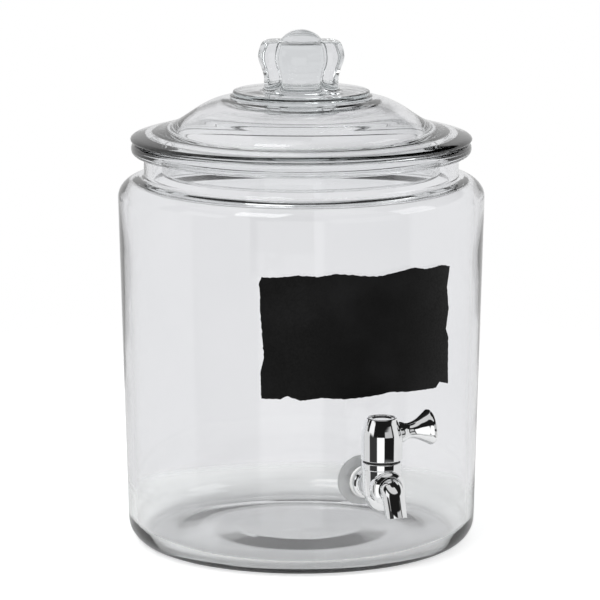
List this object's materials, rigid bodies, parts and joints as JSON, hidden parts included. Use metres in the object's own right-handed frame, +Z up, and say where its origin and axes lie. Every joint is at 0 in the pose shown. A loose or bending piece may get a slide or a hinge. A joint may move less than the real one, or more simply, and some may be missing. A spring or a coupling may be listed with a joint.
{
  "type": "glass drinks dispenser",
  "caption": "Wide glass jar with a loose glass lid, a blank chalkboard label and a chrome quarter-turn tap low on its front.",
  "frame": {"origin": "centre of the jar's flat underside, on the jar's axis", "axes": "+Z up along the jar's axis; -Y is the front, where the tap and the label are; the closed tap's lever points along +X"},
  "size_m": [0.236, 0.2913, 0.3329],
  "materials": {
    "clear_glass": "clear, polished, with slight ripples from moulding",
    "chalkboard_black": "matte black chalkboard film with a faint sheen",
    "polished_chrome": "mirror-polished chrome plating",
    "grey_silicone": "translucent grey silicone",
    "stainless_steel": "plain turned stainless steel",
    "plug_brass": "machined brass",
    "black_rubber": "black nitrile rubber",
    "black_nylon": "plain black nylon"
  },
  "bodies": {
    "jar": {"glass_jar": "clear_glass", "chalkboard_label": "chalkboard_black", "outer_washer": "grey_silicone", "inner_washer": "grey_silicone", "wall_flange": "polished_chrome", "lock_nut": "stainless_steel", "tap_body": "polished_chrome", "outlet_spout": "polished_chrome", "spout_collar": "polished_chrome", "spout_seal": "black_rubber", "plug_retainer": "stainless_steel", "thrust_washer": "black_nylon"},
    "lid": {"glass_lid": "clear_glass"},
    "handle": {"valve_plug": "plug_brass", "plug_seal_upper": "black_rubber", "plug_seal_lower": "black_rubber", "handle_head": "polished_chrome", "lever": "polished_chrome", "handle_screw": "stainless_steel", "top_cap": "polished_chrome"}
  },
  "joints": [
    {"name": "lid_lift", "type": "slide", "parent": "jar", "child": "lid", "axis": [0, 0, 1], "range_m": [0, 0.07]},
    {"name": "tap_turn", "type": "hinge", "parent": "jar", "child": "handle", "pos_m": [0, -0.1414, 0.09], "axis": [0, 0, -1], "range_deg": [0, 90]}
  ]
}
